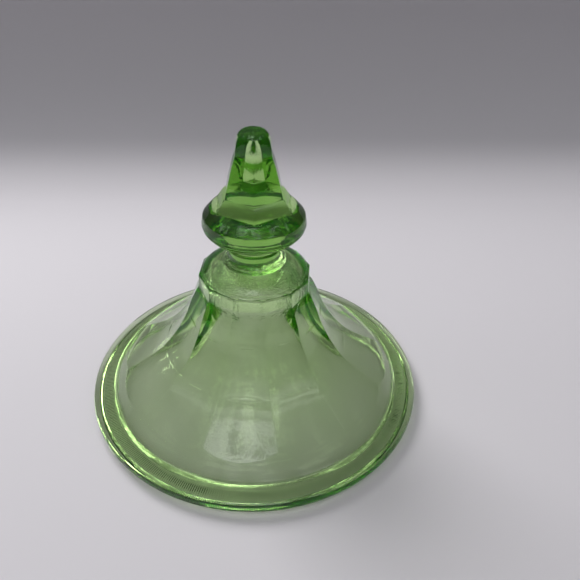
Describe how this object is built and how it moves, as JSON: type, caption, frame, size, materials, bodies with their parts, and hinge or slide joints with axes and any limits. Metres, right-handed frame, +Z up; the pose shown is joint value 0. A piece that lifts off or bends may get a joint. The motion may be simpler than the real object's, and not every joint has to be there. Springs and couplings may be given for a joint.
{
  "type": "candy dish lid",
  "caption": "Clear green pressed glass candy dish lid: flared panelled bell with a round knop and a faceted spire finial, hollow underneath, resting on a locating ring.",
  "frame": {"origin": "centre of the lid's base, on the plane of the flat underside of the locating ring", "axes": "+Z up along the lid's axis to the tip of the spire; -Y is the front as it stands; +X to the right"},
  "size_m": [0.152, 0.152, 0.1275],
  "materials": {
    "green_glass": "clear polished pressed glass, spring green"
  },
  "bodies": {
    "root": {"lid": "green_glass"}
  },
  "joints": []
}
